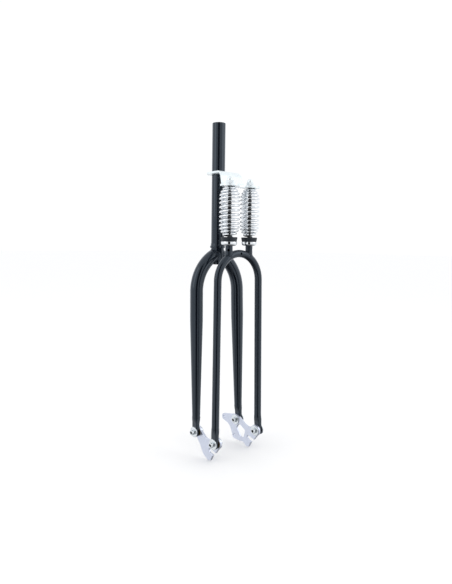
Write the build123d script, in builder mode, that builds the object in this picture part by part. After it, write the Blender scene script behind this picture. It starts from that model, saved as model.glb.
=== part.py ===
"""Double-spring leading-link bicycle fork with a threadless steerer and disc-brake rockers.

Frame, in millimetres: +Z up along the steerer, -Y the riding direction, +X the rider's left.
The origin is on the steerer axis at the shoulder that the lower headset race sits on.
Side outlines are drawn on planes whose first axis points forward and second axis points up.
"""

import math
import os

from build123d import *

# Steerer, a 1-1/8 inch threadless tube open at both ends, with a braze groove inside the bracket
STEERER_R = 14.3
STEERER_BORE_R = 12.7
STEERER_TOP = 262.0
STEERER_EDGE = 0.5
STEERER_BOTTOM = -41.0
BRAZE_GROOVE_DEPTH = 0.3
BRAZE_GROOVE_HEIGHT = 2.0
RACE_SEAT_R = 15.0
RACE_SEAT_HEIGHT = 5.0
RACE_SHOULDER_R = 16.6
RACE_SHOULDER_HEIGHT = 5.0

# Rear fork: two blades curving out of the steerer, then tapering to the pivot lugs
REAR_TUBE_R = 13.9
REAR_TIP_R = 8.8
TUBE_WALL = 1.6
REAR_HALF_SPACING = 58.5
REAR_ARCH_R = 88.0
REAR_ARCH_Z = -100.0
REAR_ARCH_START_X = 1.5
REAR_TAPER_START = -162.0
REAR_TUBE_END = -374.0
REAR_LEAN = 1.4
REAR_LEAN_Z = -45.0

# Front fork: one slim tube bent into a U, carrying two spring stubs
FRONT_TUBE_R = 7.95
FRONT_ARCH_R = 58.0
FRONT_ARCH_Z = -73.4
FRONT_TUBE_END = -381.0
FRONT_LEAN = 0.55
FRONT_ARCH_FORWARD = 70.2
LEG_SPLAY = 0.75
FENDER_HOLE_R = 2.5
STUB_R = 7.6
STUB_BORE_R = 5.9
STUB_TOP = 0.4
VENT_HOLE_R = 2.8
VENT_HOLE_Z = -8.2
VENT_HOLE_TURN = 48.0
STUB_BASE = -22.0
BOSS_BOTTOM = -4.6

# Springs, their cups and the guide rods inside them
SPRING_X = 28.4
SPRING_FORWARD = 70.5
CUP_TOP = 9.3
CUP_SIDE_Z = 6.4
CUP_R = 16.6
CUP_BASE_R = 10.6
CUP_WALL = 1.2
BUMPER_TOP = 18.6
BUMPER_R = 17.0
BUMPER_WAIST_R = 15.4
BUMPER_SPIGOT_R = 9.8
BUMPER_SPIGOT_Z = 2.2
BUMPER_LIP = 3.0
WIRE_R = 2.45
SPRING_TURNS = 13
SPRING_WAIST_R = 18.7
SPRING_END_R = 9.7
SHOULDER_TURNS = 3.2
END_PITCH_SHARE = 0.74
COIL_STEPS = 12
ROD_R = 4.0
ROD_PLAY = 0.4
ROD_TOP = 138.0
ROD_EDGE = 0.6

# Upper bracket: a bent plate from the steerer down to the two spring perches
PLATE = 4.0
BRACKET_TOP = 157.5
PERCH_TOP = 125.5
RING_R = 25.5
RING_BEND_FORWARD = 40.0
RING_CHEEK_FORWARD = 31.0
PERCH_BEND_FORWARD = 50.5
PERCH_LOBE_R = 20.0
BRACKET_HALF_WIDTH = 50.0
WEB_HALF_WIDTH = 34.2
WEB_FOOT_FORWARD = 56.0
NOTCH_FORWARD = 77.0
RING_BEND_R = 18.0
PERCH_BEND_R = 9.0
PLAN_FILLET_R = 4.0
BUSH_R = 7.5
BUSH_BORE_R = 5.6
WASHER_R = 11.0
WASHER_THICKNESS = 1.6
NUT_ACROSS_FLATS = 13.0
NUT_HEX_HEIGHT = 6.5
NUT_DOME_R = 6.0
NUT_COLLAR = 1.5

# Rockers, the two leading links that carry the wheel axle
ROCKER_GAP = 108.0
ROCKER_THICKNESS = 5.0
PLATE_EDGE = 0.4
REAR_PIVOT = (8.8, -406.0)
FRONT_PIVOT = (74.1, -413.0)
EYE_R = 12.5
AXLE_SLOT_R = 5.0
AXLE_SLOT_END = (53.5, -436.0)
AXLE_SLOT_DIP = 15.0
AXLE_SLOT_REACH = 40.0
CALIPER_HOLES = ((-32.0, -410.6), (5.75, -445.0))
CALIPER_HOLE_R = 3.0
CALIPER_EAR_R = 8.0

# Pivots: flanged bush in the rocker, bolt and sleeve nut through the lug
LUG_THICKNESS = 8.0
LUG_R = 8.4
LUG_DROP = 3.0
LUG_NECK_WIDTH = 15.6
LUG_BLEND = 10.0
LUG_CORNER_R = 3.5
RUNNING_GAP = 0.05
SIDE_GAP = 0.2
BUSH_FLANGE = 0.8
PIVOT_BUSH_R = 7.0
FLANGE_R = 10.5
SLEEVE_R = 5.0
BOLT_R = 3.0
BOLT_REACH = 16.0
PIVOT_WASHER_R = 11.5
PIVOT_WASHER = 1.5
BOLT_HEAD_R = 5.3
BOLT_HEAD = 7.0
NUT_HEAD_R = 6.0
NUT_HEAD = 6.0
HEAD_EDGE = 0.6
HEX_SOCKET = 6.0
BOLT_SOCKET_DEPTH = 3.5
NUT_SOCKET_DEPTH = 4.0
WASHER_EDGE = 0.3

ROCKER_INNER_X = ROCKER_GAP / 2
ROCKER_OUTER_X = ROCKER_INNER_X + ROCKER_THICKNESS
LUG_INNER_X = ROCKER_OUTER_X + BUSH_FLANGE + SIDE_GAP
LUG_OUTER_X = LUG_INNER_X + LUG_THICKNESS
LUG_CENTRE_X = (LUG_INNER_X + LUG_OUTER_X) / 2
PERCH_BOTTOM = PERCH_TOP - PLATE
SIDES = {"left": 1, "right": -1}

os.makedirs("parts", exist_ok=True)


def save(solid, name):
    """Label one finished piece and write it to its own file."""
    solid.label = name
    export_step(solid, f"parts/{name}.step")


def side_plane(x):
    """A plane at this X whose first axis is forward, second axis up and normal -X."""
    return Plane(origin=(x, 0, 0), x_dir=(0, -1, 0), z_dir=(-1, 0, 0))


def leaning_plane(forward, z, lean):
    """A front-view plane through (forward, z) whose lower end leans forward by this angle."""
    slope = math.radians(lean)
    normal = (0, -math.cos(slope), math.sin(slope))
    return Plane(origin=(0, -forward, z), x_dir=(1, 0, 0), z_dir=normal)


def cross_plane(point, direction):
    """A plane across a tube at this point, with its first axis close to +X."""
    return Plane(origin=point, x_dir=(1, 0, 0), z_dir=direction)


def coil_point(turn, sign):
    """The barrel spring's centre line, this many turns up from its lower end.

    Near each end the coils draw in to the rod and close up, like a barrel's ends.
    """
    from_end = min(turn, SPRING_TURNS - turn)
    swell = math.sin(math.pi / 2 * min(from_end / SHOULDER_TURNS, 1))
    radius = SPRING_END_R + (SPRING_WAIST_R - SPRING_END_R) * swell
    share = turn / SPRING_TURNS
    evened = share - (1 - END_PITCH_SHARE) * math.sin(2 * math.pi * share) / (2 * math.pi)
    low, high = BUMPER_TOP + WIRE_R, PERCH_BOTTOM - WIRE_R
    angle = 2 * math.pi * turn
    return (
        sign * SPRING_X + radius * math.cos(angle),
        -SPRING_FORWARD + radius * math.sin(angle),
        low + (high - low) * evened,
    )


# Steerer and the machined shoulder ring welded round its foot ------------------------------------
with BuildPart() as steerer_tube:
    with BuildSketch(Plane.XY.offset(STEERER_BOTTOM)):
        Circle(STEERER_R)
        Circle(STEERER_BORE_R, mode=Mode.SUBTRACT)
    extrude(amount=STEERER_TOP - STEERER_BOTTOM)
    chamfer(steerer_tube.edges().group_by(Axis.Z)[-1], STEERER_EDGE)
    with BuildSketch(Plane.XY.offset(BRACKET_TOP - BRAZE_GROOVE_HEIGHT)):
        Circle(STEERER_R)
        Circle(STEERER_R - BRAZE_GROOVE_DEPTH, mode=Mode.SUBTRACT)
    extrude(amount=BRAZE_GROOVE_HEIGHT, mode=Mode.SUBTRACT)
save(steerer_tube.part, "steerer_tube")

with BuildPart() as race_seat_ring:
    with BuildSketch(Plane.XY.offset(-RACE_SHOULDER_HEIGHT)):
        Circle(RACE_SHOULDER_R)
        Circle(STEERER_R, mode=Mode.SUBTRACT)
    extrude(amount=RACE_SHOULDER_HEIGHT)
    with BuildSketch(Plane.XY):
        Circle(RACE_SEAT_R)
        Circle(STEERER_R, mode=Mode.SUBTRACT)
    extrude(amount=RACE_SEAT_HEIGHT)
save(race_seat_ring.part, "race_seat_ring")

# Rear fork blades, coped to the steerer ----------------------------------------------------------
rear_plane = leaning_plane(0, REAR_LEAN_Z, REAR_LEAN)
rear_arch_local = REAR_ARCH_Z - REAR_LEAN_Z
rear_arch_centre_x = REAR_HALF_SPACING - REAR_ARCH_R
rear_arch_start = math.degrees(math.acos((REAR_ARCH_START_X - rear_arch_centre_x) / REAR_ARCH_R))
straight_length = REAR_ARCH_Z - REAR_TAPER_START
with BuildLine(rear_plane) as rear_path:
    rear_arch = CenterArc(
        (rear_arch_centre_x, rear_arch_local), REAR_ARCH_R, rear_arch_start, LEG_SPLAY - rear_arch_start
    )
    PolarLine(rear_arch @ 1, straight_length, LEG_SPLAY - 90)
rear_wire = rear_path.wire()
taper_start = rear_wire @ 1
rear_direction = rear_wire % 1
taper_length = (REAR_TAPER_START - REAR_TUBE_END) / abs(rear_direction.Z)
rear_tube_end = taper_start + rear_direction * taper_length

with BuildPart() as rear_blade_left:
    with BuildSketch(Plane(origin=rear_wire @ 0, z_dir=rear_wire % 0)):
        Circle(REAR_TUBE_R)
        Circle(REAR_TUBE_R - TUBE_WALL, mode=Mode.SUBTRACT)
    sweep(path=rear_wire)
    for trim, mode in ((0, Mode.ADD), (TUBE_WALL, Mode.SUBTRACT)):
        with BuildSketch(cross_plane(taper_start, rear_direction)):
            Circle(REAR_TUBE_R - trim)
        with BuildSketch(cross_plane(rear_tube_end, rear_direction)):
            Circle(REAR_TIP_R - trim)
        loft(mode=mode)
    Cylinder(STEERER_R, 6 * REAR_TUBE_R, mode=Mode.SUBTRACT)
save(rear_blade_left.part, "rear_blade_left")

with BuildPart() as rear_blade_right:
    mirror(rear_blade_left.part, about=Plane.YZ)
save(rear_blade_right.part, "rear_blade_right")

# Front fork tube, one U with a fender hole through the top of its arch ---------------------------
front_plane = leaning_plane(FRONT_ARCH_FORWARD, FRONT_ARCH_Z + FRONT_ARCH_R, FRONT_LEAN)
front_leg_length = (FRONT_ARCH_Z - FRONT_TUBE_END) / math.cos(math.radians(LEG_SPLAY))
with BuildLine(front_plane) as front_path:
    front_arch = CenterArc((0, -FRONT_ARCH_R), FRONT_ARCH_R, 180 - LEG_SPLAY, 2 * LEG_SPLAY - 180)
    PolarLine(front_arch @ 1, front_leg_length, LEG_SPLAY - 90)
    PolarLine(front_arch @ 0, front_leg_length, -90 - LEG_SPLAY)
front_wire = front_path.wire()
left_leg = front_wire.edges().sort_by(Axis.X)[-1]
leg_bottom, leg_top = (corner.center() for corner in left_leg.vertices().sort_by(Axis.Z))
front_tube_end = leg_bottom
front_direction = (leg_bottom - leg_top).normalized()

with BuildPart() as front_fork_tube:
    with BuildSketch(cross_plane(front_wire @ 0, front_wire % 0)):
        Circle(FRONT_TUBE_R)
        Circle(FRONT_TUBE_R - TUBE_WALL, mode=Mode.SUBTRACT)
    sweep(path=front_wire)
    hole_start = (0, 3 * FRONT_TUBE_R - FRONT_ARCH_FORWARD, FRONT_ARCH_Z + FRONT_ARCH_R)
    with BuildSketch(cross_plane(hole_start, (0, -1, 0))):
        Circle(FENDER_HOLE_R)
    extrude(amount=6 * FRONT_TUBE_R, mode=Mode.SUBTRACT)
save(front_fork_tube.part, "front_fork_tube")

with BuildPart() as front_tube_envelope:
    with BuildSketch(cross_plane(front_wire @ 0, front_wire % 0)):
        Circle(FRONT_TUBE_R)
    sweep(path=front_wire)

# Spring stubs coped onto the arch, each with a drain hole and a threaded boss for its rod --------
for side, sign in SIDES.items():
    axis_point = (sign * SPRING_X, -SPRING_FORWARD)
    with BuildPart() as spring_stub:
        with BuildSketch(Plane.XY.offset(STUB_BASE)):
            with Locations(axis_point):
                Circle(STUB_R)
                Circle(STUB_BORE_R, mode=Mode.SUBTRACT)
        extrude(amount=STUB_TOP - STUB_BASE)
        add(front_tube_envelope.part, mode=Mode.SUBTRACT)
        outboard = math.radians(VENT_HOLE_TURN)
        facing = (sign * math.sin(outboard), -math.cos(outboard), 0)
        with BuildSketch(Plane(origin=(*axis_point, VENT_HOLE_Z), z_dir=facing)):
            Circle(VENT_HOLE_R)
        extrude(amount=2 * STUB_R, mode=Mode.SUBTRACT)
    save(spring_stub.part, f"spring_stub_{side}")

    with BuildPart() as rod_boss:
        with BuildSketch(Plane.XY.offset(BOSS_BOTTOM)):
            with Locations(axis_point):
                Circle(STUB_BORE_R)
                Circle(ROD_R, mode=Mode.SUBTRACT)
        extrude(amount=STUB_TOP - BOSS_BOTTOM)
    save(rod_boss.part, f"rod_boss_{side}")

    with BuildPart() as guide_rod:
        with BuildSketch(Plane.XY.offset(BOSS_BOTTOM)):
            with Locations(axis_point):
                Circle(ROD_R)
        extrude(amount=ROD_TOP - BOSS_BOTTOM)
        chamfer(guide_rod.edges().group_by(Axis.Z)[-1], ROD_EDGE)
    save(guide_rod.part, f"guide_rod_{side}")

# Cups, rubber bumpers and springs, each turned about its own rod ---------------------------------
for side, sign in SIDES.items():
    rod_plane = Plane(origin=(sign * SPRING_X, -SPRING_FORWARD, 0), x_dir=(1, 0, 0), z_dir=(0, -1, 0))
    rod_axis = Axis((sign * SPRING_X, -SPRING_FORWARD, 0), (0, 0, 1))
    with BuildPart() as spring_cup:
        with BuildSketch(rod_plane):
            with BuildLine():
                floor_line = Line((ROD_R + ROD_PLAY, STUB_TOP), (CUP_BASE_R, STUB_TOP))
                flare = TangentArc(floor_line @ 1, (CUP_R, CUP_SIDE_Z), tangent=(1, 0.15))
                Polyline(flare @ 1, (CUP_R, CUP_TOP), (CUP_R - CUP_WALL, CUP_TOP))
                inner = Line((CUP_R - CUP_WALL, CUP_TOP), (CUP_R - CUP_WALL, CUP_SIDE_Z))
                inner_flare = TangentArc((CUP_BASE_R, STUB_TOP + CUP_WALL), inner @ 1, tangent=(1, 0.15))
                Polyline(inner_flare @ 0, (ROD_R + ROD_PLAY, STUB_TOP + CUP_WALL), floor_line @ 0)
            make_face()
        revolve(axis=rod_axis)
    save(spring_cup.part, f"spring_cup_{side}")

    with BuildPart() as bumper:
        with BuildSketch(rod_plane):
            Polygon(
                (ROD_R + ROD_PLAY, BUMPER_SPIGOT_Z), (BUMPER_SPIGOT_R, BUMPER_SPIGOT_Z),
                (BUMPER_SPIGOT_R, CUP_TOP), (BUMPER_WAIST_R, CUP_TOP), (BUMPER_R, BUMPER_TOP - BUMPER_LIP),
                (BUMPER_R, BUMPER_TOP), (ROD_R + ROD_PLAY, BUMPER_TOP), align=None,
            )
        revolve(axis=rod_axis)
        fillet(bumper.edges().group_by(Axis.Z)[-1].sort_by(SortBy.RADIUS)[-1], BUMPER_LIP / 2)
    save(bumper.part, f"bumper_{side}")

    with BuildPart() as spring:
        with BuildLine() as coil:
            Spline([coil_point(turn / COIL_STEPS, sign) for turn in range(SPRING_TURNS * COIL_STEPS + 1)])
        coil_wire = coil.wire()
        with BuildSketch(Plane(origin=coil_wire @ 0, z_dir=coil_wire % 0)):
            Circle(WIRE_R)
        sweep(path=coil_wire, is_frenet=True)
    save(spring.part, f"spring_{side}")

# Upper bracket: a bent strip trimmed to its plan, with a ring round the steerer and two perches --
BRACKET_REACH = SPRING_FORWARD + PERCH_LOBE_R + PLATE
with BuildPart() as upper_bracket:
    with BuildSketch(side_plane(-BRACKET_HALF_WIDTH)):
        with BuildLine() as strip:
            FilletPolyline(
                (-RING_R - PLATE, BRACKET_TOP), (RING_BEND_FORWARD, BRACKET_TOP),
                (PERCH_BEND_FORWARD, PERCH_TOP), (BRACKET_REACH, PERCH_TOP),
                radius=[RING_BEND_R, PERCH_BEND_R],
            )
            offset(amount=PLATE, side=Side.RIGHT, closed=True)
        make_face()
    extrude(amount=-2 * BRACKET_HALF_WIDTH)
    with BuildSketch(Plane.XY.offset(PERCH_BOTTOM - 1)) as plan:
        Circle(RING_R)
        with BuildLine():
            Polyline(
                (-RING_R, 0), (-RING_R, -RING_CHEEK_FORWARD), (-WEB_HALF_WIDTH, -WEB_FOOT_FORWARD),
                (-SPRING_X, -SPRING_FORWARD), (-SPRING_X, -NOTCH_FORWARD), (SPRING_X, -NOTCH_FORWARD),
                (SPRING_X, -SPRING_FORWARD), (WEB_HALF_WIDTH, -WEB_FOOT_FORWARD),
                (RING_R, -RING_CHEEK_FORWARD), (RING_R, 0),
                close=True,
            )
        make_face()
        with Locations((SPRING_X, -SPRING_FORWARD), (-SPRING_X, -SPRING_FORWARD)):
            Circle(PERCH_LOBE_R)
        inner_corners = plan.vertices().filter_by_position(Axis.Y, -NOTCH_FORWARD - 1, -PERCH_BEND_FORWARD)
        fillet(inner_corners, PLAN_FILLET_R)
    extrude(amount=BRACKET_TOP - PERCH_BOTTOM + 2, mode=Mode.INTERSECT)
    with Locations((0, 0, BRACKET_TOP)):
        Hole(STEERER_R)
    with Locations((SPRING_X, -SPRING_FORWARD, PERCH_TOP), (-SPRING_X, -SPRING_FORWARD, PERCH_TOP)):
        Hole(BUSH_R)
save(upper_bracket.part, "upper_bracket")

# Guide bush, washer and acorn nut at the top of each rod -----------------------------------------
for side, sign in SIDES.items():
    axis_point = (sign * SPRING_X, -SPRING_FORWARD)
    with BuildPart() as guide_bush:
        with BuildSketch(Plane.XY.offset(PERCH_BOTTOM)):
            with Locations(axis_point):
                Circle(BUSH_R)
                Circle(BUSH_BORE_R, mode=Mode.SUBTRACT)
        extrude(amount=PLATE)
    save(guide_bush.part, f"guide_bush_{side}")

    with BuildPart() as top_washer:
        with BuildSketch(Plane.XY.offset(PERCH_TOP)):
            with Locations(axis_point):
                Circle(WASHER_R)
                Circle(ROD_R, mode=Mode.SUBTRACT)
        extrude(amount=WASHER_THICKNESS)
        chamfer(top_washer.edges().group_by(Axis.Z)[-1].sort_by(SortBy.RADIUS)[-1], WASHER_EDGE)
    save(top_washer.part, f"top_washer_{side}")

    nut_bottom = PERCH_TOP + WASHER_THICKNESS
    nut_shoulder = nut_bottom + NUT_HEX_HEIGHT
    with BuildPart() as acorn_nut:
        with BuildSketch(Plane.XY.offset(nut_bottom)):
            with Locations(axis_point):
                RegularPolygon(NUT_ACROSS_FLATS / 2, 6, major_radius=False)
        extrude(amount=NUT_HEX_HEIGHT)
        with Locations((*axis_point, nut_shoulder)):
            Cylinder(NUT_DOME_R, NUT_COLLAR, align=(Align.CENTER, Align.CENTER, Align.MIN))
        with Locations((*axis_point, nut_shoulder + NUT_COLLAR)):
            Sphere(NUT_DOME_R)
        with BuildSketch(Plane.XY.offset(nut_bottom)):
            with Locations(axis_point):
                Circle(ROD_R)
        extrude(amount=ROD_TOP - nut_bottom, mode=Mode.SUBTRACT)
    save(acorn_nut.part, f"acorn_nut_{side}")

# Pivot lugs, brazed into the blade and tube ends and flattened round the pivot bores --------------
lug_places = {
    "rear": (REAR_PIVOT, rear_tube_end, rear_direction, REAR_TIP_R),
    "front": (FRONT_PIVOT, front_tube_end, front_direction, FRONT_TUBE_R),
}
for end, (pivot, tube_end, direction, tube_r) in lug_places.items():
    blend_end = tube_end + direction * LUG_BLEND
    with BuildPart() as lug_left:
        with BuildSketch(cross_plane(tube_end, direction)):
            Circle(tube_r)
        with BuildSketch(cross_plane((LUG_CENTRE_X, blend_end.Y, blend_end.Z), direction)):
            RectangleRounded(LUG_THICKNESS, LUG_NECK_WIDTH, LUG_CORNER_R)
        loft()
        with BuildSketch(side_plane(LUG_OUTER_X)) as outline:
            with Locations((pivot[0], pivot[1] - LUG_DROP)):
                Circle(LUG_R)
            with Locations((-blend_end.Y, blend_end.Z)):
                Rectangle(LUG_NECK_WIDTH, 1)
            make_hull(outline.edges())
            with Locations(pivot):
                Circle(SLEEVE_R, mode=Mode.SUBTRACT)
        extrude(amount=LUG_THICKNESS)
    save(lug_left.part, f"{end}_lug_left")

    with BuildPart() as lug_right:
        mirror(lug_left.part, about=Plane.YZ)
    save(lug_right.part, f"{end}_lug_right")

# Rockers, plates that share the pivot eyes, the axle slot and its two prongs ---------------------
DISC_TOP_EDGE = [(6.0, -394.2), (22.0, -397.0), (39.0, -408.0), (55.0, -412.0), (67.5, -402.5)]
PLAIN_TOP_EDGE = [(6.0, -394.2), (13.0, -395.5), (36.0, -412.0), (55.0, -414.5), (67.5, -402.5)]
TOP_RADII = [0, 20, 12, 9, 0]
PRONGS = [(86.0, -416.5), (70.0, -437.0), (60.5, -446.0), (54.5, -458.0), (46.0, -459.0)]
PRONG_RADII = [0, 3, 3, 5, 5]
DISC_REAR_EDGE = [
    (36.0, -451.0), (23.0, -453.0), (5.75, -453.0), (-2.25, -445.0),
    (-12.0, -424.0), (-32.0, -418.6), (-34.0, -402.8),
]
DISC_REAR_RADII = [8, 8, 0, 0, 22, 0, 0]
PLAIN_REAR_EDGE = [(30.0, -451.0), (17.0, -431.0), (-2.5, -411.0)]
PLAIN_REAR_RADII = [12, 24, 0]
DISC_WINDOW = [(20.5, -412.5), (42.0, -422.5), (37.0, -440.5), (26.0, -443.5), (12.0, -424.0)]
DISC_WINDOW_RADII = [3.5, 4, 3, 4, 4]


def rocker_shape(points, radii):
    """A rocker's outline with its eyes, bush holes and axle slot."""
    with BuildSketch() as shape:
        with BuildLine():
            FilletPolyline(points, radius=radii, close=True)
        make_face()
        with Locations(REAR_PIVOT, FRONT_PIVOT):
            Circle(EYE_R)
        with Locations(REAR_PIVOT, FRONT_PIVOT):
            Circle(PIVOT_BUSH_R, mode=Mode.SUBTRACT)
        dip = math.radians(AXLE_SLOT_DIP)
        half_reach = AXLE_SLOT_REACH / 2
        forward = AXLE_SLOT_END[0] + half_reach * math.cos(dip)
        height = AXLE_SLOT_END[1] - half_reach * math.sin(dip)
        with Locations((forward, height)):
            SlotCenterToCenter(AXLE_SLOT_REACH, 2 * AXLE_SLOT_R, rotation=-AXLE_SLOT_DIP, mode=Mode.SUBTRACT)
    return shape.sketch


with BuildPart() as rocker_left:
    with BuildSketch(side_plane(ROCKER_OUTER_X)):
        add(rocker_shape(DISC_TOP_EDGE + PRONGS + DISC_REAR_EDGE, TOP_RADII + PRONG_RADII + DISC_REAR_RADII))
        with Locations(*CALIPER_HOLES):
            Circle(CALIPER_EAR_R)
        with BuildLine():
            FilletPolyline(DISC_WINDOW, radius=DISC_WINDOW_RADII, close=True)
        make_face(mode=Mode.SUBTRACT)
        with Locations(*CALIPER_HOLES):
            Circle(CALIPER_HOLE_R, mode=Mode.SUBTRACT)
    extrude(amount=ROCKER_THICKNESS)
    chamfer(rocker_left.faces().filter_by(Axis.X).edges(), PLATE_EDGE)
save(rocker_left.part, "rocker_left")

with BuildPart() as rocker_right:
    with BuildSketch(side_plane(-ROCKER_INNER_X)):
        add(rocker_shape(PLAIN_TOP_EDGE + PRONGS + PLAIN_REAR_EDGE, TOP_RADII + PRONG_RADII + PLAIN_REAR_RADII))
    extrude(amount=ROCKER_THICKNESS)
    chamfer(rocker_right.faces().filter_by(Axis.X).edges(), PLATE_EDGE)
save(rocker_right.part, "rocker_right")


# Pivot hardware: in the rocker a flanged bush, through the lug a bolt and a sleeve nut ------------
def along_pivot(pivot, sign, x):
    """A plane across a pivot at this distance from the middle, facing outboard."""
    return Plane(origin=(sign * x, -pivot[0], pivot[1]), x_dir=(0, -1, 0), z_dir=(sign, 0, 0))


def ring(plane, radius, bore=0):
    """A disc on this plane, or a ring if it has a bore."""
    with BuildSketch(plane) as face:
        Circle(radius)
        if bore:
            Circle(bore, mode=Mode.SUBTRACT)
    return face.sketch


def hexagon(plane):
    """The outline of a hexagon key's socket on this plane."""
    with BuildSketch(plane) as face:
        RegularPolygon(HEX_SOCKET / 2, 6, major_radius=False)
    return face.sketch


inner_washer_x = ROCKER_INNER_X - SIDE_GAP - PIVOT_WASHER
inner_head_x = inner_washer_x - NUT_HEAD
outer_head_x = LUG_OUTER_X + PIVOT_WASHER
socket_floor_x = outer_head_x + BOLT_HEAD - BOLT_SOCKET_DEPTH
bolt_end_x = outer_head_x - BOLT_REACH
for end, pivot in (("rear", REAR_PIVOT), ("front", FRONT_PIVOT)):
    for side, sign in SIDES.items():
        with BuildPart() as pivot_bush:
            bush_bore = SLEEVE_R + RUNNING_GAP
            extrude(ring(along_pivot(pivot, sign, ROCKER_INNER_X), PIVOT_BUSH_R, bush_bore), ROCKER_THICKNESS)
            extrude(ring(along_pivot(pivot, sign, ROCKER_OUTER_X), FLANGE_R, bush_bore), BUSH_FLANGE)
        save(pivot_bush.part, f"{end}_pivot_bush_{side}")

        with BuildPart() as pivot_washers:
            extrude(ring(along_pivot(pivot, sign, LUG_OUTER_X), PIVOT_WASHER_R, BOLT_R), PIVOT_WASHER)
            extrude(ring(along_pivot(pivot, sign, inner_washer_x), PIVOT_WASHER_R, SLEEVE_R), PIVOT_WASHER)
        save(pivot_washers.part, f"{end}_pivot_washers_{side}")

        with BuildPart() as pivot_bolt:
            extrude(ring(along_pivot(pivot, sign, bolt_end_x), BOLT_R), BOLT_REACH)
            extrude(ring(along_pivot(pivot, sign, outer_head_x), BOLT_HEAD_R), BOLT_HEAD)
            chamfer(pivot_bolt.edges().group_by(Axis.X)[-1 if sign > 0 else 0], HEAD_EDGE)
            extrude(hexagon(along_pivot(pivot, sign, socket_floor_x)), BOLT_SOCKET_DEPTH, mode=Mode.SUBTRACT)
        save(pivot_bolt.part, f"{end}_pivot_bolt_{side}")

        with BuildPart() as sleeve_nut:
            extrude(ring(along_pivot(pivot, sign, inner_head_x), NUT_HEAD_R), NUT_HEAD)
            chamfer(sleeve_nut.edges().group_by(Axis.X)[0 if sign > 0 else -1], HEAD_EDGE)
            extrude(ring(along_pivot(pivot, sign, inner_washer_x), SLEEVE_R), LUG_OUTER_X - inner_washer_x)
            extrude(ring(along_pivot(pivot, sign, bolt_end_x), BOLT_R), BOLT_REACH, mode=Mode.SUBTRACT)
            extrude(hexagon(along_pivot(pivot, sign, inner_head_x)), NUT_SOCKET_DEPTH, mode=Mode.SUBTRACT)
        save(sleeve_nut.part, f"{end}_sleeve_nut_{side}")
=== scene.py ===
"""Double-spring leading-link bicycle fork: black tubes, chromed springs, plain metal links."""

import bmesh
import bpy
import numpy as np
from mathutils import Matrix, Vector


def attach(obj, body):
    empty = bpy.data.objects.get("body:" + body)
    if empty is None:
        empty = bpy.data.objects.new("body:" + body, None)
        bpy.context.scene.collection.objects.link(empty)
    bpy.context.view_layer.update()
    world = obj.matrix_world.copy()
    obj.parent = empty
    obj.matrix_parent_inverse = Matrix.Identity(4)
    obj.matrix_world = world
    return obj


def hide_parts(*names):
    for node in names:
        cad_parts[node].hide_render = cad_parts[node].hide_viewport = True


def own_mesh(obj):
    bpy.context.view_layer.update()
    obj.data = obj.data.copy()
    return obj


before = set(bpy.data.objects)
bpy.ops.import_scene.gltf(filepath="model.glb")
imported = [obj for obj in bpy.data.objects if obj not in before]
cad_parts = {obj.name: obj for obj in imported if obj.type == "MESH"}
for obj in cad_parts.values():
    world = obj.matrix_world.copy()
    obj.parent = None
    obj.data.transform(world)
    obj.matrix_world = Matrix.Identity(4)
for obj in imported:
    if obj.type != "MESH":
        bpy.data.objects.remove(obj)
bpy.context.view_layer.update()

# Studio ------------------------------------------------------------------------------------------
# A pale floor and a white surround, two soft lights left and right, and a black flag beside the
# camera that draws the dark line down every polished tube. The camera stands at spring height.
scene = bpy.context.scene
scene.view_settings.view_transform = "Standard"
view_right = Vector((0.7531, -0.6579, 0.0))
view_ahead = Vector((0.6545, 0.7492, -0.1018)).normalized()
view_up = view_right.cross(view_ahead)
roll = np.radians(0.8)
camera_right = view_right * np.cos(roll) + view_up * np.sin(roll)
camera_up = view_up * np.cos(roll) - view_right * np.sin(roll)
camera_data = bpy.data.cameras.new("camera")
camera_data.lens = 30.12
camera_data.sensor_width = 36.0
camera = bpy.data.objects.new("camera", camera_data)
camera.matrix_world = Matrix.Translation((-0.6978, -0.8292, 0.0084)) @ Matrix(
    (camera_right, camera_up, -view_ahead)
).transposed().to_4x4()
scene.collection.objects.link(camera)
scene.camera = camera

world = bpy.data.worlds.new("white_surround")
world.use_nodes = True
world.node_tree.nodes["Background"].inputs["Color"].default_value = (0.985, 0.99, 1.0, 1.0)
sky, sky_links = world.node_tree.nodes, world.node_tree.links
direction = sky.new("ShaderNodeTexCoord")
height = sky.new("ShaderNodeSeparateXYZ")
fade = sky.new("ShaderNodeMapRange")
fade.inputs["From Min"].default_value = -0.9
fade.inputs["From Max"].default_value = -0.42
fade.inputs["To Min"].default_value = 0.12
fade.inputs["To Max"].default_value = 1.0
ray = sky.new("ShaderNodeLightPath")
choice = sky.new("ShaderNodeMix")
choice.inputs["A"].default_value = 1.0
strength = sky.new("ShaderNodeMath")
strength.operation = "MULTIPLY"
strength.inputs[1].default_value = 1.04
sky_links.new(direction.outputs["Generated"], height.inputs["Vector"])
sky_links.new(height.outputs["Z"], fade.inputs["Value"])
sky_links.new(ray.outputs["Is Glossy Ray"], choice.inputs["Factor"])
sky_links.new(fade.outputs["Result"], choice.inputs["B"])
sky_links.new(choice.outputs["Result"], strength.inputs[0])
sky_links.new(strength.outputs["Value"], sky["Background"].inputs["Strength"])
scene.world = world


def studio_panel(name, centre, facing, width, height):
    """A flat rectangle round its centre, square to the direction that it faces."""
    ahead = Vector(facing).normalized()
    side = ahead.cross(Vector((0, 0, 1)))
    side = side.normalized() if side.length > 0.01 else Vector((1, 0, 0))
    up = side.cross(ahead)
    corners = [
        Vector(centre) + side * (across * width / 2) + up * (along * height / 2)
        for across, along in ((-1, -1), (1, -1), (1, 1), (-1, 1))
    ]
    mesh = bpy.data.meshes.new(name)
    mesh.from_pydata(corners, [], [(0, 1, 2, 3)])
    panel = bpy.data.objects.new(name, mesh)
    scene.collection.objects.link(panel)
    return panel


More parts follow.
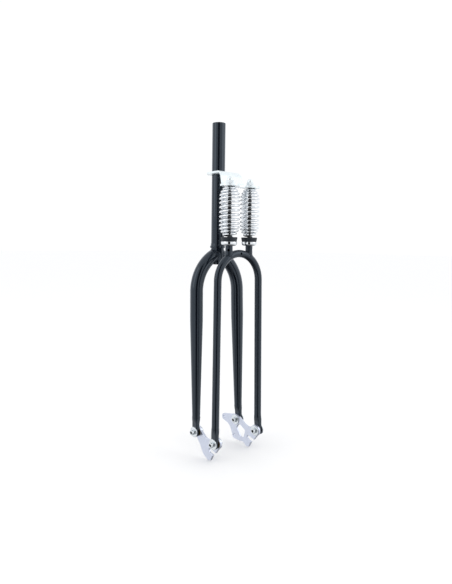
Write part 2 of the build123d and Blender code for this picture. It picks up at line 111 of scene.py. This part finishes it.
def plain_material(name, colour, roughness):
    """A matt one-colour material for the studio's own surfaces."""
    material = bpy.data.materials.new(name)
    material.use_nodes = True
    shader = material.node_tree.nodes["Principled BSDF"]
    shader.inputs["Base Color"].default_value = (*colour, 1.0)
    shader.inputs["Roughness"].default_value = roughness
    shader.inputs["Specular IOR Level"].default_value = 0.0
    return material


FLOOR_Z = -0.4612
floor = studio_panel("floor", (0, 0, FLOOR_Z), (0, 0, 1), 40, 40)
floor.data.materials.append(plain_material("pale_floor", (0.965, 0.965, 0.965), 0.9))
floor.visible_glossy = False

flag = studio_panel("black_flag", (-0.98, -1.165, 0.1), (0.644, 0.765, 0), 0.9, 3.2)
flag.data.materials.append(plain_material("flag_cloth", (0.0, 0.0, 0.0), 1.0))
flag.visible_camera = False
flag.visible_diffuse = False
flag.visible_shadow = False

for light_name, place, power in (
    ("softbox_left", (-1.9, 0.5, 0.9), 6.0),
    ("softbox_right", (1.3, -1.7, 0.9), 6.0),
):
    light_data = bpy.data.lights.new(light_name, "AREA")
    light_data.shape = "RECTANGLE"
    light_data.size = 1.1
    light_data.size_y = 1.8
    light_data.energy = power
    light = bpy.data.objects.new(light_name, light_data)
    light.location = place
    light.rotation_euler = (Vector((0, 0, -0.1)) - Vector(place)).to_track_quat("-Z", "Y").to_euler()
    scene.collection.objects.link(light)

# Steerer -----------------------------------------------------------------------------------------
# A drawn steel tube, gloss black outside and left bare where it was sawn off at the top. The fork's
# machined race seat is a separate ring welded round its foot.
STEERER_R, STEERER_BORE_R = 14.3, 12.7
STEERER_TOP, STEERER_BOTTOM = 262.0, -41.0
ROUND_STEPS = 96
SEAT_INNER_R, SEAT_R, SHOULDER_R, SEAT_REACH = 14.2, 15.0, 16.6, 5.0


def surface(name, points, sharp_angle=32.0, closed_along=False):
    """A mesh through a grid of points in millimetres: rows along the shape, columns round it.

    The columns always close on themselves. Rows whose points coincide become poles.
    """
    rows, columns = points.shape[:2]
    along = np.arange(rows if closed_along else rows - 1)
    round_steps = np.arange(columns)
    a = (along[:, None] * columns + round_steps).ravel()
    b = (along[:, None] * columns + (round_steps + 1) % columns).ravel()
    next_row = ((along + 1) % rows)[:, None] * columns
    c = (next_row + (round_steps + 1) % columns).ravel()
    d = (next_row + round_steps).ravel()
    mesh = bpy.data.meshes.new(name)
    mesh.from_pydata((points.reshape(-1, 3) * 0.001).tolist(), [], np.stack((a, b, c, d), 1).tolist())
    shape = bmesh.new()
    shape.from_mesh(mesh)
    bmesh.ops.remove_doubles(shape, verts=shape.verts, dist=1e-6)
    open_edges = [edge for edge in shape.edges if edge.is_boundary]
    if open_edges:
        bmesh.ops.holes_fill(shape, edges=open_edges, sides=0)
    bmesh.ops.recalc_face_normals(shape, faces=shape.faces)
    shape.to_mesh(mesh)
    shape.free()
    mesh.shade_smooth()
    mesh.set_sharp_from_angle(angle=np.radians(sharp_angle))
    piece = bpy.data.objects.new(name, mesh)
    scene.collection.objects.link(piece)
    return piece


def eased(profile, radius, steps=5):
    """The profile with each corner drawn as a quadratic curve between points one radius away."""
    corners = np.asarray(profile, float)
    before, after = np.roll(corners, 1, 0) - corners, np.roll(corners, -1, 0) - corners
    before_length = np.linalg.norm(before, axis=1, keepdims=True)
    after_length = np.linalg.norm(after, axis=1, keepdims=True)
    start = corners + before / before_length * np.minimum(radius, 0.45 * before_length)
    end = corners + after / after_length * np.minimum(radius, 0.45 * after_length)
    t = np.linspace(0, 1, steps)[None, :, None]
    curve = (1 - t) ** 2 * start[:, None] + 2 * t * (1 - t) * corners[:, None] + t**2 * end[:, None]
    return curve.reshape(-1, 2)


def turned(name, profile, centre, axis=(0, 0, 1), closed=True, steps=ROUND_STEPS):
    """A lathe shape: each (radius, height) of the profile carried in a circle round the axis."""
    profile = np.asarray(profile, float)
    along = np.asarray(axis, float)
    side = np.cross(along, (0.0, 1.0, 0.0) if abs(along[1]) < 0.9 else (1.0, 0.0, 0.0))
    side /= np.linalg.norm(side)
    other = np.cross(along, side)
    angle = np.linspace(0, 2 * np.pi, steps, endpoint=False)
    ring = np.cos(angle)[:, None] * side + np.sin(angle)[:, None] * other
    points = profile[:, 0, None, None] * ring + profile[:, 1, None, None] * along + np.asarray(centre)
    return surface(name, points, closed_along=closed)


def metal(name, colour, metallic, roughness, spread, scale, bump, coat=0.0, tint=(1, 1, 1)):
    """A surface finish: one noise varies colour and roughness, a finer one makes the bump.

    spread is how far colour and roughness vary, scale is in grains per metre and bump in metres.
    coat is the weight of a clear layer on top, and tint colours what it and the surface mirror.
    """
    material = bpy.data.materials.new(name)
    material.use_nodes = True
    nodes, links = material.node_tree.nodes, material.node_tree.links
    shader = nodes["Principled BSDF"]
    shader.inputs["Metallic"].default_value = metallic
    shader.inputs["Coat Weight"].default_value = coat
    shader.inputs["Coat Roughness"].default_value = 0.06
    shader.inputs["Coat Tint"].default_value = (*tint, 1.0)
    shader.inputs["Specular Tint"].default_value = (*tint, 1.0)
    place = nodes.new("ShaderNodeTexCoord")
    cloud = nodes.new("ShaderNodeTexNoise")
    cloud.inputs["Scale"].default_value = scale / 6
    cloud.inputs["Detail"].default_value = 4
    links.new(place.outputs["Object"], cloud.inputs["Vector"])
    tone = nodes.new("ShaderNodeValToRGB")
    dark = [channel * (1 - spread) for channel in colour]
    light = [min(channel * (1 + spread), 1.0) for channel in colour]
    tone.color_ramp.elements[0].position, tone.color_ramp.elements[1].position = 0.3, 0.7
    tone.color_ramp.elements[0].color = (*dark, 1.0)
    tone.color_ramp.elements[1].color = (*light, 1.0)
    links.new(cloud.outputs["Fac"], tone.inputs["Fac"])
    links.new(tone.outputs["Color"], shader.inputs["Base Color"])
    grain = nodes.new("ShaderNodeTexNoise")
    grain.inputs["Scale"].default_value = scale
    grain.inputs["Detail"].default_value = 3
    links.new(place.outputs["Object"], grain.inputs["Vector"])
    rough = nodes.new("ShaderNodeMapRange")
    rough.inputs["To Min"].default_value = roughness * (1 - 2 * spread)
    rough.inputs["To Max"].default_value = roughness * (1 + 2 * spread)
    links.new(grain.outputs["Fac"], rough.inputs["Value"])
    links.new(rough.outputs["Result"], shader.inputs["Roughness"])
    relief = nodes.new("ShaderNodeBump")
    relief.inputs["Distance"].default_value = bump
    relief.inputs["Strength"].default_value = 1.0
    links.new(grain.outputs["Fac"], relief.inputs["Height"])
    links.new(relief.outputs["Normal"], shader.inputs["Normal"])
    return material


def finish(piece, material, slot, body, *replaced):
    """Give a new piece its material, the body that carries it and the nodes it replaces. The slot is not
    used.
    """
    piece.data.materials.clear()
    piece.data.materials.append(material)
    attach(piece, body)
    for node in replaced:
        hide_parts(node)


def face_middles(piece):
    """The middle of every face of a piece, one row each, in metres."""
    middles = np.empty(len(piece.data.polygons) * 3)
    piece.data.polygons.foreach_get("center", middles)
    return middles.reshape(-1, 3)


gloss_black = metal(
    "gloss_black_paint", (0.0035, 0.0045, 0.0075), 0.0, 0.2, 0.12, 260, 0.000004,
    coat=0.35, tint=(0.68, 0.84, 1.0),
)
steerer = turned(
    "steerer",
    eased(
        [(STEERER_R, STEERER_BOTTOM), (STEERER_R, STEERER_TOP),
         (STEERER_BORE_R, STEERER_TOP), (STEERER_BORE_R, STEERER_BOTTOM)], 0.4,
    ),
    (0, 0, 0),
)
finish(steerer, gloss_black, "black_paint", "rear_fork", "steerer_tube")
sawn_steel = metal("sawn_steel", (0.58, 0.60, 0.62), 1.0, 0.32, 0.12, 1800, 0.000008)
steerer.data.materials.append(sawn_steel)
on_end = face_middles(steerer)[:, 2] > (STEERER_TOP - 0.2) / 1000
steerer.data.polygons.foreach_set("material_index", on_end.astype(np.int32))

race_seat = turned(
    "race_seat",
    eased(
        [(SEAT_INNER_R, -SEAT_REACH), (SHOULDER_R, -SEAT_REACH), (SHOULDER_R, 0.0),
         (SEAT_R, 0.0), (SEAT_R, SEAT_REACH), (SEAT_INNER_R, SEAT_REACH)], 0.5,
    ),
    (0, 0, 0),
)
finish(race_seat, gloss_black, "black_paint", "rear_fork", "race_seat_ring")

# Rear fork blades --------------------------------------------------------------------------------
# Two steel blades bent out of the steerer, straight down past the springs and then tapered. They
# are mitred and welded to the steerer, so a rippled weld bead runs round each joint.
REAR_TUBE_R, REAR_TIP_R = 13.9, 8.8
REAR_ARCH_CENTRE = (-29.5, -100.0)
REAR_ARCH_R = 88.0
REAR_ARCH_START = np.radians(69.4)
SPLAY = np.radians(0.75)
REAR_LEAN, REAR_LEAN_Z = np.radians(1.4), -45.0
REAR_TAPER_START, REAR_TUBE_END = -162.0, -374.0
CROWN_BEAD_R, CROWN_RIPPLES = 1.1, 40


def swept(path, radii, steps=48):
    """Grid of points: a circle of each radius carried square to the path, kept level with +X or +Z."""
    along = np.gradient(path, axis=0)
    along /= np.linalg.norm(along, axis=1, keepdims=True)
    depth = np.cross(along, np.array([0.0, 1.0, 0.0]))
    depth /= np.linalg.norm(depth, axis=1, keepdims=True)
    other = np.cross(along, depth)
    angle = np.linspace(0, 2 * np.pi, steps, endpoint=False)
    ring = np.cos(angle)[None, :, None] * depth[:, None] + np.sin(angle)[None, :, None] * other[:, None]
    return path[:, None] + np.asarray(radii)[:, None, None] * ring


def rear_blade_path():
    """Centre line of the left blade: an arc from the steerer, then a straight leg, leaning forward."""
    turn = np.linspace(REAR_ARCH_START, SPLAY, 60)
    x = REAR_ARCH_CENTRE[0] + REAR_ARCH_R * np.cos(turn)
    z = REAR_ARCH_CENTRE[1] + REAR_ARCH_R * np.sin(turn)
    leg_z = np.linspace(z[-1], REAR_TUBE_END, 80)[1:]
    x = np.concatenate((x, x[-1] + (z[-1] - leg_z) * np.tan(SPLAY)))
    z = np.concatenate((z, leg_z))
    return np.stack((x, (z - REAR_LEAN_Z) * np.tan(REAR_LEAN), z), 1)


def mitre_curve(grid, radius):
    """Where each lengthwise line of the grid first comes out of the upright cylinder's radius."""
    reach = np.hypot(grid[:, :, 0], grid[:, :, 1])
    first = np.argmax(reach > radius, axis=0)
    columns = np.arange(grid.shape[1])
    outer, inner = reach[first, columns], reach[first - 1, columns]
    share = ((radius - inner) / (outer - inner))[:, None]
    return grid[first - 1, columns] * (1 - share) + grid[first, columns] * share


def weld_bead(name, curve, radius, ripples):
    """A bead round a closed curve whose thickness rises and falls in overlapping ripples."""
    steps = 6 * ripples
    spot = np.linspace(0, len(curve), steps, endpoint=False)
    low = spot.astype(int)
    share = (spot - low)[:, None]
    path = curve[low] * (1 - share) + curve[(low + 1) % len(curve)] * share
    along = np.roll(path, -1, 0) - np.roll(path, 1, 0)
    along /= np.linalg.norm(along, axis=1, keepdims=True)
    away = path - path.mean(0)
    side = np.cross(along, away)
    side /= np.linalg.norm(side, axis=1, keepdims=True)
    other = np.cross(along, side)
    angle = np.linspace(0, 2 * np.pi, 12, endpoint=False)
    ripple = radius * (1 + 0.08 * np.abs(np.sin(np.arange(steps) * np.pi / 6)))
    ring = np.cos(angle)[None, :, None] * side[:, None] + np.sin(angle)[None, :, None] * other[:, None]
    return surface(name, path[:, None] + ripple[:, None, None] * ring, 60.0, closed_along=True)


blade_path = rear_blade_path()
blade_fall = np.clip((REAR_TAPER_START - blade_path[:, 2]) / (REAR_TAPER_START - REAR_TUBE_END), 0, 1)
blade_grid = swept(blade_path, REAR_TUBE_R + (REAR_TIP_R - REAR_TUBE_R) * blade_fall)
for side, sign in (("left", 1), ("right", -1)):
    mirror = np.array([sign, 1.0, 1.0])
    blade = surface(f"blade_{side}", blade_grid * mirror)
    finish(blade, gloss_black, "black_paint", "rear_fork", f"rear_blade_{side}")
    mitre = mitre_curve(blade_grid, STEERER_R) * mirror
    bead = weld_bead(f"crown_weld_{side}", mitre, CROWN_BEAD_R, CROWN_RIPPLES)
    finish(bead, gloss_black, "black_paint", "rear_fork")

# Front fork tube ---------------------------------------------------------------------------------
# One slim steel tube bent into a U, drilled through the top of the arch for a mudguard bolt. Two
# short stubs stand on the arch under the springs, each with a drain hole and a weld round its foot.
FRONT_TUBE_R, FRONT_ARCH_R = 7.95, 58.0
FRONT_ARCH_Z, FRONT_ARCH_FORWARD = -73.4, 70.2
STUB_R = 7.6
SPRING_X, SPRING_FORWARD = 28.4, 70.5
STUB_BEAD_R, STUB_RIPPLES = 0.9, 26


def repaint(node, material):
    """Give a piece that keeps its CAD shape one material all over."""
    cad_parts[node].data.materials.clear()
    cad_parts[node].data.materials.append(material)


for node in ("front_fork_tube", "spring_stub_left", "spring_stub_right"):
    repaint(node, gloss_black)

stub_turn = np.linspace(0, 2 * np.pi, 60, endpoint=False)
stub_x = SPRING_X + STUB_R * np.cos(stub_turn)
stub_y = -SPRING_FORWARD + STUB_R * np.sin(stub_turn)
tube_offset = np.sqrt(np.maximum(FRONT_TUBE_R**2 - (stub_y + FRONT_ARCH_FORWARD) ** 2, 0))
stub_z = FRONT_ARCH_Z + np.sqrt((FRONT_ARCH_R + tube_offset) ** 2 - stub_x**2)
stub_foot = np.stack((stub_x, stub_y, stub_z), 1)
for side, sign in (("left", 1), ("right", -1)):
    mirror = np.array([sign, 1.0, 1.0])
    bead = weld_bead(f"stub_weld_{side}", stub_foot * mirror, STUB_BEAD_R, STUB_RIPPLES)
    finish(bead, gloss_black, "black_paint", "front_fork")

# Pivot lugs --------------------------------------------------------------------------------------
# Forged ends brazed into the tubes: round where they meet the tube, then pressed to a flat-sided
# eye round the pivot. They are painted with the tubes.
LUG_HALF_THICKNESS, LUG_END_R, LUG_DROP = 4.0, 8.4, 3.0
LUG_CENTRE_X, LUG_NECK = 64.0, 12.0
LUG_EDGE_HEIGHT, LUG_EDGE_DEPTH, LUG_SQUARENESS = 1.5, 1.3, 3.0
FRONT_TUBE_END, FRONT_LEAN = -381.0, np.radians(0.55)
BRAZE_BEAD_R, BRAZE_RIPPLES = 0.55, 30


def lug_grid(tube_end, pivot, tube_r):
    """Superellipses down a line from the tube end to the bottom of the lug.

    The half width eases from the tube's radius to the pressed half thickness, the half depth from
    the tube's radius to the end circle's, and the outline from round to squarish. Below the end
    circle's centre the half depth follows that circle, and the last of it is rounded over.
    """
    centre_z = pivot[2] - LUG_DROP
    bottom = centre_z - LUG_END_R
    fall = np.sin(np.linspace(0, np.pi / 2, 40))
    z = np.concatenate((np.linspace(tube_end[2], centre_z, 40)[:-1], centre_z - LUG_END_R * fall))
    share = np.clip((tube_end[2] - z) / LUG_NECK, 0, 1)
    pressed = share**2 * (3 - 2 * share)
    spread = np.clip((tube_end[2] - z) / (tube_end[2] - pivot[2]), 0, 1)
    x = tube_end[0] + (pivot[0] - tube_end[0]) * spread
    y = tube_end[1] + (pivot[1] - tube_end[1]) * spread
    half_x = tube_r + (LUG_HALF_THICKNESS - tube_r) * (0.6 * pressed + 0.4 * spread)
    half_y = tube_r + (LUG_END_R - tube_r) * pressed
    half_y = np.where(z < centre_z, np.sqrt(np.maximum(LUG_END_R**2 - (z - centre_z) ** 2, 0)), half_y)
    edge = np.clip((z - bottom) / LUG_EDGE_HEIGHT, 0, 1)
    half_x = half_x - LUG_EDGE_DEPTH * (1 - np.sqrt(1 - (1 - edge) ** 2))
    power = (2 / (2 + LUG_SQUARENESS * pressed))[:, None]
    angle = np.linspace(0, 2 * np.pi, 72, endpoint=False)[None]
    across = np.sign(np.cos(angle)) * np.abs(np.cos(angle)) ** power * half_x[:, None]
    deep = np.sign(np.sin(angle)) * np.abs(np.sin(angle)) ** power * half_y[:, None]
    return np.stack((x[:, None] + across, y[:, None] + deep, z[:, None] + 0 * across), 2)


front_leg_x = FRONT_ARCH_R + (FRONT_ARCH_Z - FRONT_TUBE_END) * np.tan(SPLAY)
front_fall = FRONT_ARCH_Z + FRONT_ARCH_R - FRONT_TUBE_END
front_leg_y = -FRONT_ARCH_FORWARD - front_fall * np.tan(FRONT_LEAN)
lugs = {
    "rear": (blade_path[-1], (LUG_CENTRE_X, -8.8, -406.0), REAR_TIP_R, "rear_fork"),
    "front": (np.array([front_leg_x, front_leg_y, FRONT_TUBE_END]), (LUG_CENTRE_X, -74.1, -413.0),
              FRONT_TUBE_R, "front_fork"),
}
for end, (tube_end, pivot, tube_r, body) in lugs.items():
    grid = lug_grid(tube_end, pivot, tube_r + 0.02)
    for side, sign in (("left", 1), ("right", -1)):
        mirror = np.array([sign, 1.0, 1.0])
        lug = surface(f"lug_{end}_{side}", grid * mirror)
        finish(lug, gloss_black, "black_paint", body, f"{end}_lug_{side}")
        seam_turn = np.linspace(0, 2 * np.pi, 80, endpoint=False)
        seam = np.stack(
            (tube_end[0] + tube_r * np.cos(seam_turn), tube_end[1] + tube_r * np.sin(seam_turn),
             tube_end[2] + 0 * seam_turn), 1,
        )
        braze = weld_bead(f"lug_braze_{end}_{side}", seam * mirror, BRAZE_BEAD_R, BRAZE_RIPPLES)
        finish(braze, gloss_black, "black_paint", body)

# Spring seats ------------------------------------------------------------------------------------
# A pressed and chromed cup on each stub holds a moulded rubber buffer. The plain steel guide rod
# comes up through both and is blackened so that it slides.
chrome = metal("chrome_plate", (0.80, 0.83, 0.86), 1.0, 0.05, 0.05, 260, 0.000001)
rubber = metal("buffer_rubber", (0.009, 0.011, 0.015), 0.0, 0.5, 0.22, 900, 0.00005, tint=(0.8, 0.9, 1.0))
blackened = metal("blackened_steel", (0.045, 0.048, 0.052), 0.6, 0.28, 0.15, 700, 0.000008)
CUP_R, CUP_TOP, CUP_BASE_R, CUP_WALL, STUB_TOP = 16.6, 9.3, 10.6, 1.2, 0.4
FLARE_R, SEAT_HOLE_R = 6.0, 4.4
ROD_R, ROD_FOOT, ROD_TOP, ROD_EDGE = 4.0, -4.6, 138.0, 0.6
flare_turn = np.linspace(-np.pi / 2, 0, 12)
outer_flare = np.stack(
    (CUP_BASE_R + (CUP_R - CUP_BASE_R) * np.cos(flare_turn),
     STUB_TOP + FLARE_R + FLARE_R * np.sin(flare_turn)), 1,
)
inner_flare = np.stack(
    (CUP_BASE_R + (CUP_R - CUP_WALL - CUP_BASE_R) * np.cos(flare_turn),
     STUB_TOP + FLARE_R + (FLARE_R - CUP_WALL) * np.sin(flare_turn)), 1,
)
rim_turn = np.linspace(0, np.pi, 7)
cup_rim = np.stack(
    (CUP_R - CUP_WALL / 2 + CUP_WALL / 2 * np.cos(rim_turn),
     CUP_TOP - CUP_WALL / 2 + CUP_WALL / 2 * np.sin(rim_turn)), 1,
)
cup_profile = np.concatenate(
    ([(SEAT_HOLE_R, STUB_TOP)], outer_flare, cup_rim, inner_flare[::-1],
     [(SEAT_HOLE_R, STUB_TOP + CUP_WALL)])
)
buffer_profile = np.concatenate((
    [(SEAT_HOLE_R, 2.2), (9.8, 2.2), (9.8, 8.6), (15.2, 8.6), (15.3, 9.3)],
    [(15.6, 9.8), (15.9, 11.0), (16.5, 14.2), (16.95, 16.4), (17.0, 17.2), (16.8, 18.0),
     (16.2, 18.5), (15.3, 18.6), (11.0, 18.55), (SEAT_HOLE_R, 18.6)],
))
for side, sign in (("left", 1), ("right", -1)):
    rod_foot = (sign * SPRING_X, -SPRING_FORWARD, 0)
    cup = turned(f"cup_{side}", cup_profile, rod_foot)
    finish(cup, chrome, "chrome", "front_fork", f"spring_cup_{side}")
    buffer = turned(f"buffer_{side}", buffer_profile, rod_foot)
    finish(buffer, rubber, "rubber", "front_fork", f"bumper_{side}")
    rod = turned(
        f"rod_{side}",
        [(0, ROD_FOOT), (ROD_R, ROD_FOOT), (ROD_R, ROD_TOP - ROD_EDGE), (ROD_R - ROD_EDGE, ROD_TOP),
         (0, ROD_TOP)],
        rod_foot, closed=False, steps=48,
    )
    finish(rod, blackened, "blackened_steel", "front_fork", f"guide_rod_{side}")
    repaint(f"rod_boss_{side}", gloss_black)

# Springs -----------------------------------------------------------------------------------------
# Chromed barrel springs wound from round wire. The coils draw in and close up at both ends, where
# they bear on the buffer below and on the bracket's perch above.
SPRING_TURNS, WIRE_R = 13, 2.45
WAIST_R, COIL_END_R, SHOULDER_TURNS, END_PITCH_SHARE = 18.7, 9.7, 3.2, 0.74
SPRING_FOOT, PERCH_BOTTOM, CUT_END_SHARE = 18.6, 121.5, 0.82


def coil_line(sign):
    """Centre line: a circle whose radius swells over the end turns and whose rise slows there."""
    turn = np.linspace(0, SPRING_TURNS, SPRING_TURNS * 56 + 1)
    from_end = np.minimum(turn, SPRING_TURNS - turn)
    swell = np.sin(np.pi / 2 * np.minimum(from_end / SHOULDER_TURNS, 1))
    radius = COIL_END_R + (WAIST_R - COIL_END_R) * swell
    share = turn / SPRING_TURNS
    evened = share - (1 - END_PITCH_SHARE) * np.sin(2 * np.pi * share) / (2 * np.pi)
    low, high = SPRING_FOOT + WIRE_R, PERCH_BOTTOM - WIRE_R
    angle = 2 * np.pi * turn
    return np.stack(
        (sign * SPRING_X + radius * np.cos(angle), -SPRING_FORWARD + radius * np.sin(angle),
         low + (high - low) * evened), 1,
    )


def wire_grid(path, radius, axis_point, steps=20):
    """A round wire along the coil: rings square to it, set out from the coil's own axis."""
    along = np.gradient(path, axis=0)
    along /= np.linalg.norm(along, axis=1, keepdims=True)
    outward = path - np.array([axis_point[0], axis_point[1], 0])
    outward[:, 2] = 0
    outward /= np.linalg.norm(outward, axis=1, keepdims=True)
    up = np.cross(along, outward)
    up /= np.linalg.norm(up, axis=1, keepdims=True)
    outward = np.cross(up, along)
    angle = np.linspace(0, 2 * np.pi, steps, endpoint=False)
    ring = np.cos(angle)[None, :, None] * outward[:, None] + np.sin(angle)[None, :, None] * up[:, None]
    thickness = np.full(len(path), radius)
    thickness[0] = thickness[-1] = radius * CUT_END_SHARE
    return path[:, None] + thickness[:, None, None] * ring


for side, sign in (("left", 1), ("right", -1)):
    coil = surface(
        f"coil_{side}", wire_grid(coil_line(sign), WIRE_R, (sign * SPRING_X, -SPRING_FORWARD)), 50.0
    )
    finish(coil, chrome, "chrome", "rear_fork", f"spring_{side}")
    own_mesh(coil)

# Bracket, washers and acorn nuts -----------------------------------------------------------------
# One steel plate, blanked, bent twice and finished in bright silver, ties the steerer to the rods.
# A plated washer and a chromed acorn nut stop each rod above the bracket.
silver = metal("bright_silver_finish", (0.80, 0.87, 0.90), 0.35, 0.32, 0.03, 520, 0.000004, coat=0.2)
zinc = metal("zinc_plate", (0.72, 0.76, 0.79), 0.9, 0.24, 0.08, 900, 0.000003)
bright_nut = metal("bright_nut_plate", (0.78, 0.84, 0.87), 0.6, 0.22, 0.04, 600, 0.000002)
# Near-black painted into the bolt and nut sockets as their shade.
painted_socket_shade = metal("socket_recess_black", (0.006, 0.006, 0.007), 0.0, 0.6, 0.2, 900, 0.00002)
repaint("upper_bracket", silver)
PERCH_TOP, WASHER_TOP = 125.5, 127.1
NUT_HALF_FLATS, NUT_SHOULDER, NUT_DOME_R = 6.5, 133.6, 6.0
STOP_HOLE_R, STOP_WASHER_R, WASHER_EASE = 4.1, 11.0, 0.45


def hex_radius(angle, half_flats):
    """Distance from the middle to a hexagon's side at each angle."""
    return half_flats / np.cos((angle + np.pi / 6) % (np.pi / 3) - np.pi / 6)


def acorn_grid(centre):
    """A hexagon whose corners are cut by cones at both ends, then a collar and a dome."""
    angle = np.linspace(0, 2 * np.pi, 144, endpoint=False)
    hexagon = hex_radius(angle, NUT_HALF_FLATS)
    rise = NUT_SHOULDER - WASHER_TOP
    heights = np.array([0, 0, 0.25, 0.5, 0.8, 1.1, 3.2, 5.2, 5.6, 5.9, 6.2, 6.5]) / 6.5 * rise
    cone = NUT_HALF_FLATS + np.minimum(heights, rise - heights) * 1.7 + 0.05
    rows = np.minimum(hexagon[None], cone[:, None])
    rows[0] = STOP_HOLE_R
    dome_turn = np.linspace(0, np.pi / 2, 20)
    collar = np.full((3, len(angle)), NUT_DOME_R)
    dome = np.repeat(NUT_DOME_R * np.cos(dome_turn)[:, None], len(angle), 1)
    radius = np.concatenate((rows, collar, dome))
    collar_heights = [rise + 0.05, rise + 0.4, rise + 1.4]
    dome_heights = rise + 1.5 + NUT_DOME_R * np.sin(dome_turn)
    height = np.concatenate((heights, collar_heights, dome_heights))
    z = WASHER_TOP + height[:, None] + 0 * radius
    return np.stack((centre[0] + radius * np.cos(angle), centre[1] + radius * np.sin(angle), z), 2)


for side, sign in (("left", 1), ("right", -1)):
    rod_axis = (sign * SPRING_X, -SPRING_FORWARD)
    washer = turned(
        f"stop_washer_{side}",
        eased(
            [(STOP_HOLE_R, PERCH_TOP), (STOP_WASHER_R, PERCH_TOP), (STOP_WASHER_R, WASHER_TOP),
             (STOP_HOLE_R, WASHER_TOP)], WASHER_EASE,
        ),
        (*rod_axis, 0),
    )
    finish(washer, zinc, "zinc_steel", "front_fork", f"top_washer_{side}")
    nut = surface(f"acorn_{side}", acorn_grid(rod_axis))
    finish(nut, bright_nut, "chrome", "front_fork", f"acorn_nut_{side}")
    repaint(f"guide_bush_{side}", rubber)

# Rockers -----------------------------------------------------------------------------------------
# Two links cut from aluminium plate, tumbled and clear finished. The left one has the ears and the
# window for the disc caliper. A flanged bush is pressed into each of their four eyes.
alloy = metal("tumbled_alloy", (0.62, 0.66, 0.77), 0.85, 0.3, 0.05, 1500, 0.00001)
bronze = metal("bush_bronze", (0.42, 0.33, 0.19), 1.0, 0.3, 0.12, 900, 0.000006)
for node in ("rocker_left", "rocker_right"):
    repaint(node, alloy)

# Pivot bolts -------------------------------------------------------------------------------------
# Socket-head bolts run through washer, lug and rocker into sleeve nuts with the same hexagon
# socket. All of them are zinc plated.
HEX_HALF_FLATS, SOCKET_REACH = 3.0, 3.7
HEAD_STEPS, RIM_EASE, FOOT_EDGE = 96, 0.8, 0.25


def socket_head(name, centre, outward, head_r, head_height, socket_depth):
    """A cap head on a flat face: plain round side, eased rim, then a hexagon socket with a cone floor."""
    angle = np.linspace(0, 2 * np.pi, HEAD_STEPS, endpoint=False)
    hexagon = hex_radius(angle, HEX_HALF_FLATS)
    ease = np.linspace(0, np.pi / 2, 7)
    rim_r = head_r - RIM_EASE + RIM_EASE * np.cos(ease)
    rim_h = head_height - RIM_EASE + RIM_EASE * np.sin(ease)
    flat = [(0, 0), (head_r - FOOT_EDGE, 0), (head_r, FOOT_EDGE)]
    radius = np.concatenate((
        np.repeat(np.array([r for r, _ in flat])[:, None], HEAD_STEPS, 1),
        np.repeat(rim_r[:, None], HEAD_STEPS, 1),
        np.stack((hexagon + 0.3, hexagon + 0.02, hexagon, hexagon * 0 + 2.3, hexagon * 0)),
    ))
    height = np.concatenate((
        [h for _, h in flat], rim_h,
        [head_height, head_height - 0.3, head_height - socket_depth, head_height - socket_depth - 0.05,
         head_height - socket_depth - 0.9],
    ))
    points = np.stack(
        (centre[0] + outward * (height[:, None] + 0 * radius), centre[1] + radius * np.cos(angle),
         centre[2] + radius * np.sin(angle)), 2,
    )
    return surface(name, points, 30.0)


def paint_socket_shade(head, middle):
    """Paint shade on the faces inside the socket as a near-black colour: those whose middle lies near the
    axis.
    """
    head.data.materials.append(painted_socket_shade)
    centres = face_middles(head)
    reach = np.hypot(centres[:, 1] - middle[1] / 1000, centres[:, 2] - middle[2] / 1000)
    outward = np.abs(centres[:, 0]) * 1000
    face = outward.max() if head.name.split("_")[1] == "bolt" else outward.min()
    deep = (np.abs(outward - face) > 0.2) & (reach < SOCKET_REACH / 1000)
    head.data.polygons.foreach_set("material_index", deep.astype(np.int32))


LUG_OUTER_X, ROCKER_INNER_X, PIVOT_WASHER, SIDE_GAP = 68.0, 54.0, 1.5, 0.2
PIVOT_WASHER_R, SHANK_R, SLEEVE_R = 11.5, 3.1, 5.0
BOLT_HEAD, NUT_HEAD = (5.3, 7.0, 3.5), (6.0, 6.0, 4.0)
for end, (_, pivot, _, body) in lugs.items():
    for side, sign in (("left", 1), ("right", -1)):
        axis = (sign, 0, 0)
        middle = (0, pivot[1], pivot[2])
        outer = turned(
            f"{end}_outer_washer_{side}",
            eased(
                [(SHANK_R, LUG_OUTER_X), (PIVOT_WASHER_R, LUG_OUTER_X),
                 (PIVOT_WASHER_R, LUG_OUTER_X + PIVOT_WASHER), (SHANK_R, LUG_OUTER_X + PIVOT_WASHER)],
                WASHER_EASE,
            ), middle, axis,
        )
        finish(outer, zinc, "zinc_steel", body, f"{end}_pivot_washers_{side}")
        inner_low = ROCKER_INNER_X - SIDE_GAP - PIVOT_WASHER
        inner = turned(
            f"{end}_inner_washer_{side}",
            eased(
                [(SLEEVE_R, inner_low), (PIVOT_WASHER_R, inner_low),
                 (PIVOT_WASHER_R, ROCKER_INNER_X - SIDE_GAP), (SLEEVE_R, ROCKER_INNER_X - SIDE_GAP)],
                WASHER_EASE,
            ), middle, axis,
        )
        finish(inner, zinc, "zinc_steel", body)
        head = socket_head(
            f"{end}_bolt_{side}", (sign * (LUG_OUTER_X + PIVOT_WASHER), pivot[1], pivot[2]), sign,
            *BOLT_HEAD,
        )
        finish(head, zinc, "zinc_steel", body, f"{end}_pivot_bolt_{side}")
        # The inside of this socket, and of the nut's below, is painted near-black as shade.
        paint_socket_shade(head, middle)
        nut_head = socket_head(
            f"{end}_nut_{side}", (sign * inner_low, pivot[1], pivot[2]), -sign, *NUT_HEAD,
        )
        finish(nut_head, zinc, "zinc_steel", body)
        paint_socket_shade(nut_head, middle)
        sleeve = turned(
            f"{end}_sleeve_{side}",
            [(0, inner_low), (SLEEVE_R, inner_low), (SLEEVE_R, LUG_OUTER_X), (0, LUG_OUTER_X)],
            middle, axis, closed=False, steps=48,
        )
        finish(sleeve, zinc, "zinc_steel", body, f"{end}_sleeve_nut_{side}")
        repaint(f"{end}_pivot_bush_{side}", bronze)
